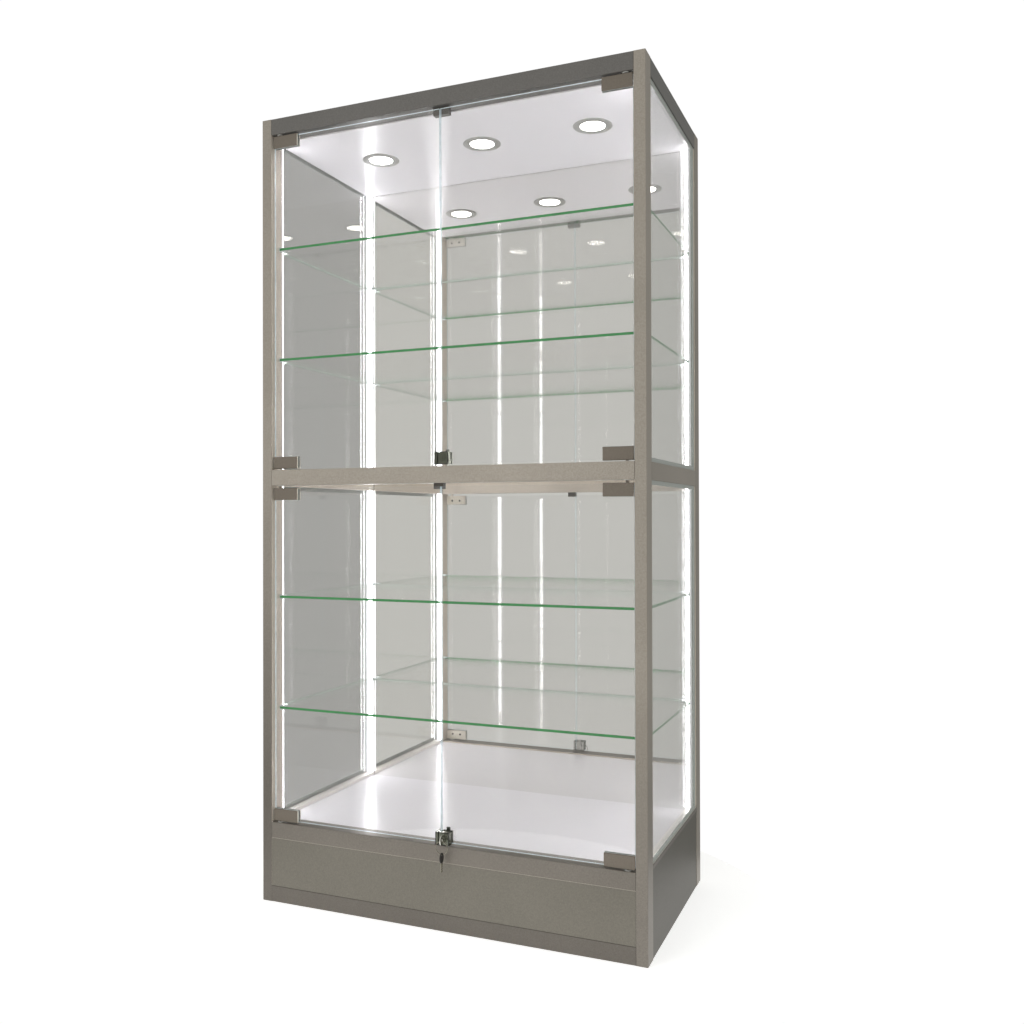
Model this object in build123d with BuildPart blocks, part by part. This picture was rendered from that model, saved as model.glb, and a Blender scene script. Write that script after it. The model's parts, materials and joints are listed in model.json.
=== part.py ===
"""Upright glass showcase: a powder-coated aluminium frame with a mirror back, four glass
shelves, lit corners and ceiling, and two pairs of frameless glass doors on pivot clamps.

Millimetres. +X is to the right of someone facing the doors, -Y is the front, +Z is up.
The origin is the middle of the footprint, on the ground.
"""

import os
from math import sqrt

from build123d import *

os.makedirs("parts", exist_ok=True)

# ---------------------------------------------------------------- overall sizes
case_width = 1000.0
case_depth = 550.0
case_height = 1980.0

# ---------------------------------------------------------------- frame profiles
post_width = 27.0
post_depth = 45.0
rail_height = 40.0
wall = 3.0
edge_round = 1.2
plinth_height = 200.0
mid_rail_bottom = 1050.0
side_lip_height = 10.0

# ---------------------------------------------------------------- sheets and panes
side_glass = 5.0
side_glass_inset = 5.0
pane_clearance = 0.25
groove_depth = 8.0
mirror_thickness = 4.0
board_thickness = 8.0
back_groove_depth = 6.0
back_setback = 1.0
floor_thickness = 12.0
floor_drop = 4.0
ceiling_thickness = 3.0
cover_thickness = 2.0
cover_ledge = 6.0
panel_thickness = 3.0
panel_recess = 1.0
panel_clearance = 0.5
gasket_width = 10.0
gasket_thickness = 1.5

# ---------------------------------------------------------------- corner lighting
channel_leg = 17.0
channel_lip = 3.0
tape_width = 12.0
tape_thickness = 1.5
channel_clearance = 0.2

# ---------------------------------------------------------------- downlights and supply
downlight_count = 3
downlight_pitch = 300.0
downlight_y = -22.0
trim_radius = 49.0
trim_thickness = 2.5
trim_chamfer = 0.8
can_radius = 34.0
can_height = 26.0
can_wall = 2.0
lens_radius = 31.0
lens_thickness = 2.0
driver_length = 180.0
driver_width = 60.0
driver_height = 30.0
inlet_radius = 10.0
inlet_flange = 4.0
inlet_flange_thickness = 2.0
inlet_bore_radius = 4.0

# ---------------------------------------------------------------- shelves
shelf_thickness = 6.0
shelf_front_gap = 32.0
shelf_side_gap = 2.0
shelves_per_opening = 2
shelf_lift = 3.0
clip_reach = 10.0
clip_width = 12.0
clip_jaw = 2.5

# ---------------------------------------------------------------- doors
door_glass = 5.0
door_face_setback = 9.5
door_edge_gap = 3.5
door_seam = 3.0
door_outer_gap = 3.0
door_mid_gap = 6.5
pivot_inset = 20.0
clamp_length = 70.0
clamp_height = 30.0
clamp_plate = 4.5
clamp_web = 2.0
pin_radius = 4.0
pin_engagement = 8.0
pin_clearance = 0.05
bush_radius = 6.0
bush_length = 10.0
bush_flange = 2.0
bush_flange_thickness = 1.0

# ---------------------------------------------------------------- stops and locks
stop_clearance = 0.5
stop_depth = 14.0
upper_stop = (-20.0, 20.0, 18.0)
lower_stop = (-21.0, 4.0, 14.0)
lock_reach = 27.0
lock_height = 30.0
lock_front = 15.0
lock_back = 4.0
lock_axis_x = 14.0
lock_axis_rise = 13.0
strike_reach = 8.0
barrel_radius = 8.0
barrel_clearance = 0.25
plug_radius = 6.0
plug_proud = 2.0
spigot_radius = 4.0
cam_thickness = 3.0
cam_length = 21.0
cam_width = 9.0
cam_rim = 3.0
cam_clearance = 0.25
keyway_width = 2.4
keyway_height = 7.4
keyway_depth = 20.0
key_thickness = 2.0
key_clearance = 0.2
bow_height = 24.0
bow_depth = 18.0
bow_hole_radius = 3.0
bow_edge = 2.0
blade_length = 21.0
blade_overlap = 4.0
ring_radius = 15.0
ring_wire_radius = 0.9
ring_play = 0.3

# ---------------------------------------------------------------- worked-out places
half_width = case_width / 2
half_depth = case_depth / 2
inner_x = half_width - post_width
inner_y = half_depth - post_depth
top_rail_bottom = case_height - rail_height
mid_rail_top = mid_rail_bottom + rail_height
base_rail_bottom = plinth_height - rail_height
floor_top = plinth_height - floor_drop
side_lip_top = floor_top + side_lip_height
glass_outer_x = half_width - side_glass_inset
glass_inner_x = glass_outer_x - side_glass
glass_middle_x = (glass_outer_x + glass_inner_x) / 2
side_groove = side_glass + 2 * pane_clearance
back_stack = mirror_thickness + board_thickness
back_groove = back_stack + 2 * pane_clearance
mirror_front = inner_y + back_setback
back_groove_middle = mirror_front + back_stack / 2
back_groove_end = back_groove_middle + back_groove / 2
door_front = -half_depth + door_face_setback
door_back = door_front + door_glass
pivot_y = (door_front + door_back) / 2
pivot_x = inner_x - pivot_inset
door_edge_x = inner_x - door_edge_gap
seam_x = door_seam / 2
shelf_front = -half_depth + shelf_front_gap
corner_x = glass_inner_x - channel_clearance
channel_inner_x = corner_x - channel_leg
shelf_tongue_x = min(inner_x, channel_inner_x) - shelf_side_gap
shelf_wing_x = glass_inner_x - shelf_side_gap
shelf_wing_y = inner_y - channel_leg - channel_lip
supply_x = case_width / 4
inlet_z = base_rail_bottom / 2


def save(part, name):
    """Label one piece, write it to its own file and say so."""
    part.label = name
    export_step(part, f"parts/{name}.step")
    print(f"{name}: {len(part.solids())} solid(s), {part.volume / 1000:.1f} cm3")


def rounded(low, high, radius=edge_round, mode=Mode.ADD):
    """Draw a rounded rectangle from its lower corner to its upper corner."""
    with Locations(((low[0] + high[0]) / 2, (low[1] + high[1]) / 2)):
        RectangleRounded(high[0] - low[0], high[1] - low[1], radius, mode=mode)


def plain(low, high, mode=Mode.ADD):
    """Draw a rectangle from its lower corner to its upper corner."""
    with Locations(((low[0] + high[0]) / 2, (low[1] + high[1]) / 2)):
        Rectangle(high[0] - low[0], high[1] - low[1], mode=mode)


def block(low, high):
    """Add a box from its lowest corner to its highest corner."""
    middle = [(a + b) / 2 for a, b in zip(low, high)]
    with Locations(tuple(middle)):
        Box(high[0] - low[0], high[1] - low[1], high[2] - low[2])


# ---------------------------------------------------------------- corner posts
def corner_post(side, end):
    """Make one full-height post; side and end are its signs along X and Y."""
    cavity_inner_y = inner_y + groove_depth + wall
    if end > 0:
        cavity_inner_y = max(cavity_inner_y, back_groove_end + wall)
    with BuildPart() as post:
        with BuildSketch(Plane.XY):
            xs = sorted((side * inner_x, side * half_width))
            ys = sorted((end * inner_y, end * half_depth))
            rounded((xs[0], ys[0]), (xs[1], ys[1]))
            xs = sorted((side * (inner_x + wall), side * (half_width - wall)))
            ys = sorted((end * cavity_inner_y, end * (half_depth - wall)))
            plain((xs[0], ys[0]), (xs[1], ys[1]), mode=Mode.SUBTRACT)
            with Locations((side * glass_middle_x, end * (inner_y + groove_depth / 2))):
                Rectangle(side_groove, groove_depth, mode=Mode.SUBTRACT)
            if end > 0:
                with Locations((side * (inner_x + back_groove_depth / 2), back_groove_middle)):
                    Rectangle(back_groove_depth, back_groove, mode=Mode.SUBTRACT)
        extrude(amount=case_height)
    return post.part


for side, side_name in ((-1, "left"), (1, "right")):
    for end, end_name in ((-1, "front"), (1, "rear")):
        save(corner_post(side, end), f"post_{end_name}_{side_name}")


# ---------------------------------------------------------------- rails across the front and back
across = Plane.YZ.offset(-inner_x)


def pivot_holes(z_low, z_high):
    """Cut the two bush seats through one wall of the rail that is being made."""
    middle = (z_low + z_high) / 2
    with Locations(*[(sign * pivot_x, pivot_y, middle) for sign in (-1, 1)]):
        Cylinder(bush_radius, z_high - z_low, mode=Mode.SUBTRACT)


with BuildPart() as top_rail_front:
    with BuildSketch(across):
        rounded((-half_depth, top_rail_bottom), (-inner_y, case_height))
        plain((-half_depth + wall, top_rail_bottom + wall),
              (-inner_y - wall, case_height - wall), mode=Mode.SUBTRACT)
        plain((-inner_y - cover_ledge, case_height - cover_thickness),
              (-inner_y, case_height), mode=Mode.SUBTRACT)
    extrude(amount=2 * inner_x)
    pivot_holes(top_rail_bottom, top_rail_bottom + wall)
save(top_rail_front.part, "top_rail_front")

with BuildPart() as top_rail_rear:
    with BuildSketch(across):
        rounded((inner_y, top_rail_bottom), (half_depth, case_height))
        plain((back_groove_end + wall, top_rail_bottom + wall),
              (half_depth - wall, case_height - wall), mode=Mode.SUBTRACT)
        plain((inner_y, case_height - cover_thickness),
              (inner_y + cover_ledge, case_height), mode=Mode.SUBTRACT)
        with Locations((back_groove_middle, top_rail_bottom + back_groove_depth / 2)):
            Rectangle(back_groove, back_groove_depth, mode=Mode.SUBTRACT)
    extrude(amount=2 * inner_x)
save(top_rail_rear.part, "top_rail_rear")

with BuildPart() as mid_rail_front:
    with BuildSketch(across):
        rounded((-half_depth, mid_rail_bottom), (-inner_y, mid_rail_top))
        plain((-half_depth + wall, mid_rail_bottom + wall),
              (-inner_y - wall, mid_rail_top - wall), mode=Mode.SUBTRACT)
    extrude(amount=2 * inner_x)
    pivot_holes(mid_rail_bottom, mid_rail_bottom + wall)
    pivot_holes(mid_rail_top - wall, mid_rail_top)
save(mid_rail_front.part, "mid_rail_front")

with BuildPart() as base_rail_front:
    with BuildSketch(across):
        rounded((-half_depth, base_rail_bottom), (-inner_y, plinth_height))
        plain((-half_depth + wall, base_rail_bottom + wall),
              (-inner_y - wall, plinth_height - wall), mode=Mode.SUBTRACT)
    extrude(amount=2 * inner_x)
    pivot_holes(plinth_height - wall, plinth_height)
save(base_rail_front.part, "base_rail_front")

with BuildPart() as base_rail_rear:
    with BuildSketch(across):
        rounded((back_groove_end, base_rail_bottom), (half_depth, plinth_height))
        plain((back_groove_end + wall, base_rail_bottom + wall),
              (half_depth - wall, plinth_height - wall), mode=Mode.SUBTRACT)
    extrude(amount=2 * inner_x)
save(base_rail_rear.part, "base_rail_rear")

with BuildPart() as skirt_rail_front:
    with BuildSketch(across):
        rounded((-half_depth, 0), (-inner_y, rail_height))
        plain((-half_depth + wall, wall), (-inner_y - wall, rail_height - wall), mode=Mode.SUBTRACT)
    extrude(amount=2 * inner_x)
save(skirt_rail_front.part, "skirt_rail_front")


# ---------------------------------------------------------------- rails along the sides
along = Plane.XZ.offset(-inner_y)


def side_rail(side, low, high, groove_below, groove_above, ledge=0.0):
    """Make one side rail with its glazing grooves and, at the top, a ledge for the cover."""
    cavity_low = low + wall + (groove_depth if groove_below else 0)
    cavity_high = high - wall - (groove_depth if groove_above else 0)
    with BuildPart() as rail:
        with BuildSketch(along):
            xs = sorted((side * inner_x, side * half_width))
            rounded((xs[0], low), (xs[1], high))
            if cavity_high - cavity_low > wall:
                xs = sorted((side * (inner_x + wall), side * (half_width - wall)))
                plain((xs[0], cavity_low), (xs[1], cavity_high), mode=Mode.SUBTRACT)
            if groove_below:
                with Locations((side * glass_middle_x, low + groove_depth / 2)):
                    Rectangle(side_groove, groove_depth, mode=Mode.SUBTRACT)
            if groove_above:
                with Locations((side * glass_middle_x, high - groove_depth / 2)):
                    Rectangle(side_groove, groove_depth, mode=Mode.SUBTRACT)
            if ledge:
                xs = sorted((side * inner_x, side * (inner_x + ledge)))
                plain((xs[0], high - cover_thickness), (xs[1], high), mode=Mode.SUBTRACT)
        extrude(amount=2 * inner_y)
    return rail.part


for side, side_name in ((-1, "left"), (1, "right")):
    top_rail = side_rail(side, top_rail_bottom, case_height, True, False, cover_ledge)
    save(top_rail, f"top_rail_{side_name}")
    mid_rail = side_rail(side, mid_rail_bottom, mid_rail_top, True, True)
    save(mid_rail, f"mid_rail_{side_name}")

side_sills = [side_rail(side, floor_top, side_lip_top, False, True) for side in (-1, 1)]
save(Compound(children=side_sills), "side_sills")

# ---------------------------------------------------------------- plinth panels
with BuildPart() as kick_panel_front:
    block((-inner_x, -half_depth + panel_recess, rail_height),
          (inner_x, -half_depth + panel_recess + panel_thickness, base_rail_bottom))
save(kick_panel_front.part, "kick_panel_front")

with BuildPart() as plinth_panel_rear:
    block((-inner_x, half_depth - panel_recess - panel_thickness, 0),
          (inner_x, half_depth - panel_recess, base_rail_bottom))
    inlet_place = Plane((supply_x, half_depth - panel_recess, inlet_z), z_dir=(0, 1, 0))
    with Locations(inlet_place):
        Hole(inlet_radius, depth=panel_thickness)
save(plinth_panel_rear.part, "plinth_panel_rear")

for side, side_name in ((-1, "left"), (1, "right")):
    xs = sorted((side * (half_width - panel_recess), side * (half_width - panel_recess - panel_thickness)))
    with BuildPart() as plinth_panel:
        block((xs[0], -inner_y, 0), (xs[1], inner_y, floor_top))
    save(plinth_panel.part, f"plinth_panel_{side_name}")

# ---------------------------------------------------------------- floor, ceiling and cover
floor_x = half_width - panel_recess - panel_thickness - panel_clearance
with BuildPart() as floor_panel:
    with BuildSketch(Plane.XY.offset(floor_top - floor_thickness)):
        plain((-floor_x, -inner_y), (floor_x, inner_y - panel_clearance))
        plain((-inner_x + panel_clearance, 0), (inner_x - panel_clearance, back_groove_end))
    extrude(amount=floor_thickness)
save(floor_panel.part, "floor_panel")

downlight_first = -(downlight_count - 1) / 2 * downlight_pitch
downlight_places = [(downlight_first + i * downlight_pitch, downlight_y) for i in range(downlight_count)]
ceiling_x = glass_inner_x - panel_clearance
ceiling_y = inner_y - panel_clearance
corner_cut = channel_leg + channel_clearance + panel_clearance
with BuildPart() as ceiling_panel:
    with BuildSketch(Plane.XY.offset(top_rail_bottom - ceiling_thickness)):
        plain((-ceiling_x, -ceiling_y + corner_cut), (ceiling_x, ceiling_y - corner_cut))
        plain((-ceiling_x + corner_cut, -ceiling_y), (ceiling_x - corner_cut, ceiling_y))
        with Locations(*downlight_places):
            Circle(can_radius, mode=Mode.SUBTRACT)
    extrude(amount=ceiling_thickness)
save(ceiling_panel.part, "ceiling_panel")

with BuildPart() as top_cover:
    with BuildSketch(Plane.XY.offset(case_height - cover_thickness)):
        reach_x = inner_x + cover_ledge - panel_clearance
        reach_y = inner_y + cover_ledge - panel_clearance
        plain((-reach_x, -inner_y + panel_clearance), (reach_x, inner_y - panel_clearance))
        plain((-inner_x + panel_clearance, -reach_y), (inner_x - panel_clearance, reach_y))
    extrude(amount=cover_thickness)
save(top_cover.part, "top_cover")

# ---------------------------------------------------------------- mirror back and its board
back_x = inner_x + back_groove_depth - panel_clearance
back_top = top_rail_bottom + back_groove_depth - panel_clearance
with BuildPart() as mirror_back:
    block((-back_x, mirror_front, floor_top), (back_x, mirror_front + mirror_thickness, back_top))
save(mirror_back.part, "mirror_back")

with BuildPart() as back_board:
    block((-back_x, mirror_front + mirror_thickness, floor_top),
          (back_x, mirror_front + back_stack, back_top))
save(back_board.part, "back_board")

# ---------------------------------------------------------------- side glass and its gaskets
pane_y = inner_y + groove_depth - panel_clearance
seat = groove_depth - panel_clearance
pane_levels = ((side_lip_top - seat, mid_rail_bottom + seat), (mid_rail_top - seat, top_rail_bottom + seat))
sight_levels = ((side_lip_top, mid_rail_bottom), (mid_rail_top, top_rail_bottom))
for side, side_name in ((-1, "left"), (1, "right")):
    xs = sorted((side * glass_inner_x, side * glass_outer_x))
    with BuildPart() as side_panes:
        for low, high in pane_levels:
            block((xs[0], -pane_y, low), (xs[1], pane_y, high))
    save(side_panes.part, f"side_glass_{side_name}")

with BuildPart() as glazing_gaskets:
    for side in (-1, 1):
        outer_face = Plane((side * glass_outer_x, 0, 0), x_dir=(0, 1, 0), z_dir=(side, 0, 0))
        for low, high in sight_levels:
            low_y, high_y = sorted((side * low, side * high))
            with BuildSketch(outer_face):
                plain((-inner_y, low_y), (inner_y, high_y))
                plain((-inner_y + gasket_width, low_y + gasket_width),
                      (inner_y - gasket_width, high_y - gasket_width), mode=Mode.SUBTRACT)
            extrude(amount=gasket_thickness)
save(glazing_gaskets.part, "glazing_gaskets")

# ---------------------------------------------------------------- corner light channels and tapes
corner_y = inner_y - channel_clearance
strip_levels = ((side_lip_top + channel_clearance, mid_rail_bottom - channel_clearance),
                (mid_rail_top + channel_clearance, top_rail_bottom - channel_clearance))
corners = [(sx, sy) for sx in (-1, 1) for sy in (-1, 1)]


def corner_point(sx, sy, a, b):
    """Turn distances from the side glass and from the post face into a place on the plan."""
    return (sx * (corner_x - a), sy * (corner_y - b))


with BuildPart() as led_channels:
    for low, high in strip_levels:
        with BuildSketch(Plane.XY.offset(low)):
            for sx, sy in corners:
                with BuildLine():
                    Polyline(corner_point(sx, sy, 0, 0),
                             corner_point(sx, sy, channel_leg, 0),
                             corner_point(sx, sy, channel_leg, channel_lip),
                             corner_point(sx, sy, channel_lip, channel_leg),
                             corner_point(sx, sy, 0, channel_leg),
                             close=True)
                make_face()
        extrude(amount=high - low)
save(led_channels.part, "led_channels")

slope_middle = (channel_leg + channel_lip) / 2


def slope_point(sx, sy, across_slope, out):
    """Place a point on the sloping face of a channel, a given way across it and out from it."""
    a = slope_middle + (out - across_slope) / sqrt(2)
    b = slope_middle + (out + across_slope) / sqrt(2)
    return corner_point(sx, sy, a, b)


with BuildPart() as led_tapes:
    for low, high in strip_levels:
        with BuildSketch(Plane.XY.offset(low)):
            for sx, sy in corners:
                with BuildLine():
                    Polyline(slope_point(sx, sy, -tape_width / 2, 0),
                             slope_point(sx, sy, tape_width / 2, 0),
                             slope_point(sx, sy, tape_width / 2, tape_thickness),
                             slope_point(sx, sy, -tape_width / 2, tape_thickness),
                             close=True)
                make_face()
        extrude(amount=high - low)
save(led_tapes.part, "led_tapes")

# ---------------------------------------------------------------- downlights
ceiling_under = top_rail_bottom - ceiling_thickness
downlight_spots = [(x, y, ceiling_under) for x, y in downlight_places]

with BuildPart() as downlight_trims:
    with Locations(*downlight_spots):
        Cylinder(trim_radius, trim_thickness, align=(Align.CENTER, Align.CENTER, Align.MAX))
        Cylinder(lens_radius, trim_thickness, align=(Align.CENTER, Align.CENTER, Align.MAX),
                 mode=Mode.SUBTRACT)
    chamfer(downlight_trims.edges().filter_by(GeomType.CIRCLE).group_by(Axis.Z)[0], trim_chamfer)
save(downlight_trims.part, "downlight_trims")

with BuildPart() as downlight_cans:
    with Locations(*downlight_spots):
        Cylinder(can_radius, can_height, align=(Align.CENTER, Align.CENTER, Align.MIN))
        Cylinder(can_radius - can_wall, can_height - can_wall,
                 align=(Align.CENTER, Align.CENTER, Align.MIN), mode=Mode.SUBTRACT)
save(downlight_cans.part, "downlight_cans")

with BuildPart() as downlight_lenses:
    with Locations(*downlight_spots):
        Cylinder(lens_radius, lens_thickness, align=(Align.CENTER, Align.CENTER, Align.MAX))
        Cylinder(can_radius - can_wall, lens_thickness, align=(Align.CENTER, Align.CENTER, Align.MIN))
save(downlight_lenses.part, "downlight_lenses")

# ---------------------------------------------------------------- supply in the plinth
driver_top = floor_top - floor_thickness
with BuildPart() as led_driver:
    with Locations((supply_x, inner_y - driver_width, driver_top)):
        Box(driver_length, driver_width, driver_height, align=(Align.CENTER, Align.CENTER, Align.MAX))
    fillet(led_driver.edges().filter_by(Axis.Z), edge_round)
save(led_driver.part, "led_driver")

inlet_axis = Plane((supply_x, half_depth - panel_recess - panel_thickness, inlet_z), z_dir=(0, -1, 0))
with BuildPart() as cable_gland:
    with BuildSketch(inlet_axis):
        Circle(inlet_radius + inlet_flange)
    extrude(amount=inlet_flange_thickness)
    with BuildSketch(inlet_axis):
        Circle(inlet_radius)
    extrude(amount=-panel_thickness)
    with BuildSketch(inlet_axis.offset(inlet_flange_thickness)):
        Circle(inlet_bore_radius)
    extrude(amount=-panel_thickness - inlet_flange_thickness, mode=Mode.SUBTRACT)
save(cable_gland.part, "cable_gland")

# ---------------------------------------------------------------- shelves and their clips
shelf_back = mirror_front - shelf_side_gap
shelf_tops = []
for opening_low, opening_high in ((plinth_height, mid_rail_bottom), (mid_rail_top, top_rail_bottom)):
    pitch = (opening_high - opening_low) / (shelves_per_opening + 1)
    for step in range(1, shelves_per_opening + 1):
        shelf_tops.append(opening_low + step * pitch + shelf_lift)

for number, top in enumerate(shelf_tops, start=1):
    with BuildPart() as shelf:
        with BuildSketch(Plane.XY.offset(top - shelf_thickness)):
            plain((-shelf_tongue_x, shelf_front), (shelf_tongue_x, shelf_back))
            plain((-shelf_wing_x, -shelf_wing_y), (shelf_wing_x, shelf_wing_y))
        extrude(amount=shelf_thickness)
    save(shelf.part, f"shelf_{number}")

clip_y = inner_y + clip_width / 2
clip_back_y = inner_y - channel_lip - clip_width / 2
with BuildPart() as shelf_clips:
    for top in shelf_tops:
        under = top - shelf_thickness
        for side in (-1, 1):
            for middle_y, outer_x in ((-clip_y, inner_x), (clip_back_y, channel_inner_x)):
                jaw_x = side * (shelf_tongue_x - clip_reach)
                xs = sorted((side * outer_x, jaw_x))
                slot = sorted((side * shelf_tongue_x, jaw_x))
                with BuildSketch(Plane.XZ.offset(-middle_y - clip_width / 2)):
                    plain((xs[0], under - clip_jaw), (xs[1], top + clip_jaw))
                    plain((slot[0], under), (slot[1], top), mode=Mode.SUBTRACT)
                extrude(amount=clip_width)
save(shelf_clips.part, "shelf_clips")

# ---------------------------------------------------------------- door stops under the rails
stop_front = door_back + stop_clearance
with BuildPart() as door_stops:
    for rail_under, (left, right, drop) in ((top_rail_bottom, upper_stop), (mid_rail_bottom, lower_stop)):
        block((left, stop_front, rail_under - drop), (right, stop_front + stop_depth, rail_under))
save(door_stops.part, "door_stops")

# ---------------------------------------------------------------- pivot bushes in the rails
bush_seats = ((top_rail_bottom, 1), (mid_rail_top, -1), (mid_rail_bottom, 1), (plinth_height, -1))
with BuildPart() as pivot_bushes:
    for rail_face, inward in bush_seats:
        for side in (-1, 1):
            seat_plane = Plane((side * pivot_x, pivot_y, rail_face), z_dir=(0, 0, inward))
            with BuildSketch(seat_plane):
                Circle(bush_radius)
                Circle(pin_radius + pin_clearance, mode=Mode.SUBTRACT)
            extrude(amount=bush_length)
            with BuildSketch(seat_plane):
                Circle(bush_radius + bush_flange)
                Circle(pin_radius + pin_clearance, mode=Mode.SUBTRACT)
            extrude(amount=-bush_flange_thickness)
save(pivot_bushes.part, "pivot_bushes")

# ---------------------------------------------------------------- doors
levels = {
    "upper": (mid_rail_top, door_outer_gap, top_rail_bottom, door_outer_gap),
    "lower": (plinth_height, door_outer_gap, mid_rail_bottom, door_mid_gap),
}


def door_pane(side, low, high, lock_rise):
    """Make one door's glass; the right-hand one is drilled for the lock barrel."""
    xs = sorted((side * seam_x, side * door_edge_x))
    with BuildPart() as pane:
        block((xs[0], door_front, low), (xs[1], door_back, high))
        if side > 0:
            with Locations(Plane((lock_axis_x, door_front, low + lock_rise), z_dir=(0, -1, 0))):
                Hole(barrel_radius + barrel_clearance, depth=door_glass)
    return pane.part


def hinge_clamps(side, low, high, gap_below, gap_above):
    """Make the two clamps of one door, each with its pivot pin."""
    xs = sorted((side * door_edge_x, side * (door_edge_x - clamp_length)))
    with BuildPart() as clamps:
        for edge, way, gap in ((low, -1, gap_below), (high, 1, gap_above)):
            outer = edge + way * clamp_web
            inner = outer - way * clamp_height
            zs = sorted((outer, inner))
            slot = sorted((edge, inner))
            with BuildSketch(Plane.YZ.offset(xs[0])):
                rounded((door_front - clamp_plate, zs[0]), (door_back + clamp_plate, zs[1]))
                plain((door_front, slot[0]), (door_back, slot[1]), mode=Mode.SUBTRACT)
            extrude(amount=xs[1] - xs[0])
            with BuildSketch(Plane((side * pivot_x, pivot_y, outer), z_dir=(0, 0, way))):
                Circle(pin_radius)
            extrude(amount=gap + pin_engagement)
    return clamps.part


def lock_case(low):
    """Make the clamp-on case of a lock, with the barrel that passes through the glass."""
    bottom = low - clamp_web
    axis_z = low + lock_axis_rise
    with BuildPart() as case:
        with BuildSketch(Plane.YZ.offset(seam_x)):
            rounded((door_front - lock_front, bottom), (door_back + lock_back, bottom + lock_height))
            plain((door_front, low), (door_back, bottom + lock_height), mode=Mode.SUBTRACT)
        extrude(amount=lock_reach - seam_x)
        barrel_plane = Plane((lock_axis_x, door_back, axis_z), z_dir=(0, -1, 0))
        with BuildSketch(barrel_plane):
            Circle(barrel_radius)
        extrude(amount=door_glass)
        bore_plane = Plane((lock_axis_x, door_back + lock_back, axis_z), z_dir=(0, -1, 0))
        with BuildSketch(bore_plane):
            Circle(plug_radius + pin_clearance)
        extrude(amount=lock_back + door_glass + lock_front, mode=Mode.SUBTRACT)
    return case.part


def lock_plug(low, with_keyway):
    """Make the turning plug of a lock, with the spigot that carries its cam."""
    axis_z = low + lock_axis_rise
    face_y = door_front - lock_front - plug_proud
    shoulder_y = door_back + lock_back + cam_clearance
    face_plane = Plane((lock_axis_x, face_y, axis_z), x_dir=(1, 0, 0), z_dir=(0, 1, 0))
    with BuildPart() as plug:
        with BuildSketch(face_plane):
            Circle(plug_radius)
        extrude(amount=shoulder_y - face_y)
        with BuildSketch(face_plane.offset(shoulder_y - face_y)):
            Circle(spigot_radius)
        extrude(amount=cam_thickness)
        depth = keyway_depth if with_keyway else plug_proud
        with BuildSketch(face_plane):
            Rectangle(keyway_width, keyway_height)
        extrude(amount=depth, mode=Mode.SUBTRACT)
    return plug.part


def lock_cam(low):
    """Make the cam behind the plug; it points up when the lock is open."""
    axis_z = low + lock_axis_rise
    cam_y = door_back + lock_back + cam_clearance
    cam_plane = Plane((lock_axis_x, cam_y, axis_z), x_dir=(-1, 0, 0), z_dir=(0, 1, 0))
    with BuildPart() as cam:
        with BuildSketch(cam_plane):
            Circle(spigot_radius + cam_rim)
            plain((-cam_width / 2, 0), (cam_width / 2, cam_length))
            Circle(spigot_radius, mode=Mode.SUBTRACT)
        extrude(amount=cam_thickness)
    return cam.part


def door_strike(low):
    """Make the clip on the left-hand door that the cam turns behind."""
    bottom = low - clamp_web
    with BuildPart() as strike:
        with BuildSketch(Plane.YZ.offset(-strike_reach)):
            rounded((door_front - lock_front, bottom), (door_back + lock_back, bottom + lock_height))
            plain((door_front, low), (door_back, bottom + lock_height), mode=Mode.SUBTRACT)
        extrude(amount=strike_reach - seam_x)
    return strike.part


for level, (opening_low, gap_below, opening_high, gap_above) in levels.items():
    low = opening_low + gap_below + clamp_web
    high = opening_high - gap_above - clamp_web
    for side, side_name in ((-1, "left"), (1, "right")):
        save(door_pane(side, low, high, lock_axis_rise), f"door_glass_{level}_{side_name}")
        clamps = hinge_clamps(side, low, high, gap_below, gap_above)
        save(clamps, f"hinge_clamps_{level}_{side_name}")
    save(lock_case(low), f"lock_case_{level}")
    save(lock_plug(low, level == "lower"), f"lock_plug_{level}")
    save(lock_cam(low), f"lock_cam_{level}")
    save(door_strike(low), f"strike_{level}")

# ---------------------------------------------------------------- the key and the spare on its ring
lower_glass = plinth_height + door_outer_gap + clamp_web
lock_z = lower_glass + lock_axis_rise
plug_face = door_front - lock_front - plug_proud
bow_y = plug_face - key_clearance - bow_depth / 2
hang = bow_hole_radius - ring_wire_radius - ring_play
key_side = Plane((lock_axis_x - key_thickness / 2, 0, 0), x_dir=(0, 1, 0), z_dir=(1, 0, 0))

with BuildPart() as key:
    with BuildSketch(key_side):
        with Locations((bow_y, lock_z)):
            Ellipse(bow_depth / 2, bow_height / 2)
            Circle(bow_hole_radius, mode=Mode.SUBTRACT)
        blade_half = keyway_height / 2 - key_clearance
        plain((bow_y + bow_hole_radius + key_clearance, lock_z - blade_half),
              (plug_face + keyway_depth, lock_z + blade_half))
    extrude(amount=key_thickness)
save(key.part, "key")

ring_z = lock_z - hang - ring_radius
with BuildPart() as key_ring:
    with BuildSketch(Plane.YZ.offset(lock_axis_x)):
        with Locations((bow_y, ring_z + ring_radius)):
            Circle(ring_wire_radius)
    revolve(axis=Axis((lock_axis_x, bow_y, ring_z), (0, 1, 0)), revolution_arc=360)
save(key_ring.part, "key_ring")

spare_hole_z = ring_z - ring_radius - hang
spare_bow_z = spare_hole_z - bow_height / 2 + bow_hole_radius + bow_edge
with BuildPart() as spare_key:
    with BuildSketch(key_side):
        with Locations((bow_y, spare_bow_z)):
            Ellipse(bow_depth / 2, bow_height / 2)
        with Locations((bow_y, spare_hole_z)):
            Circle(bow_hole_radius, mode=Mode.SUBTRACT)
        plain((bow_y - blade_half, spare_bow_z - bow_height / 2 - blade_length),
              (bow_y + blade_half, spare_bow_z - bow_height / 2 + blade_overlap))
    extrude(amount=key_thickness)
save(spare_key.part, "spare_key")
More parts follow.
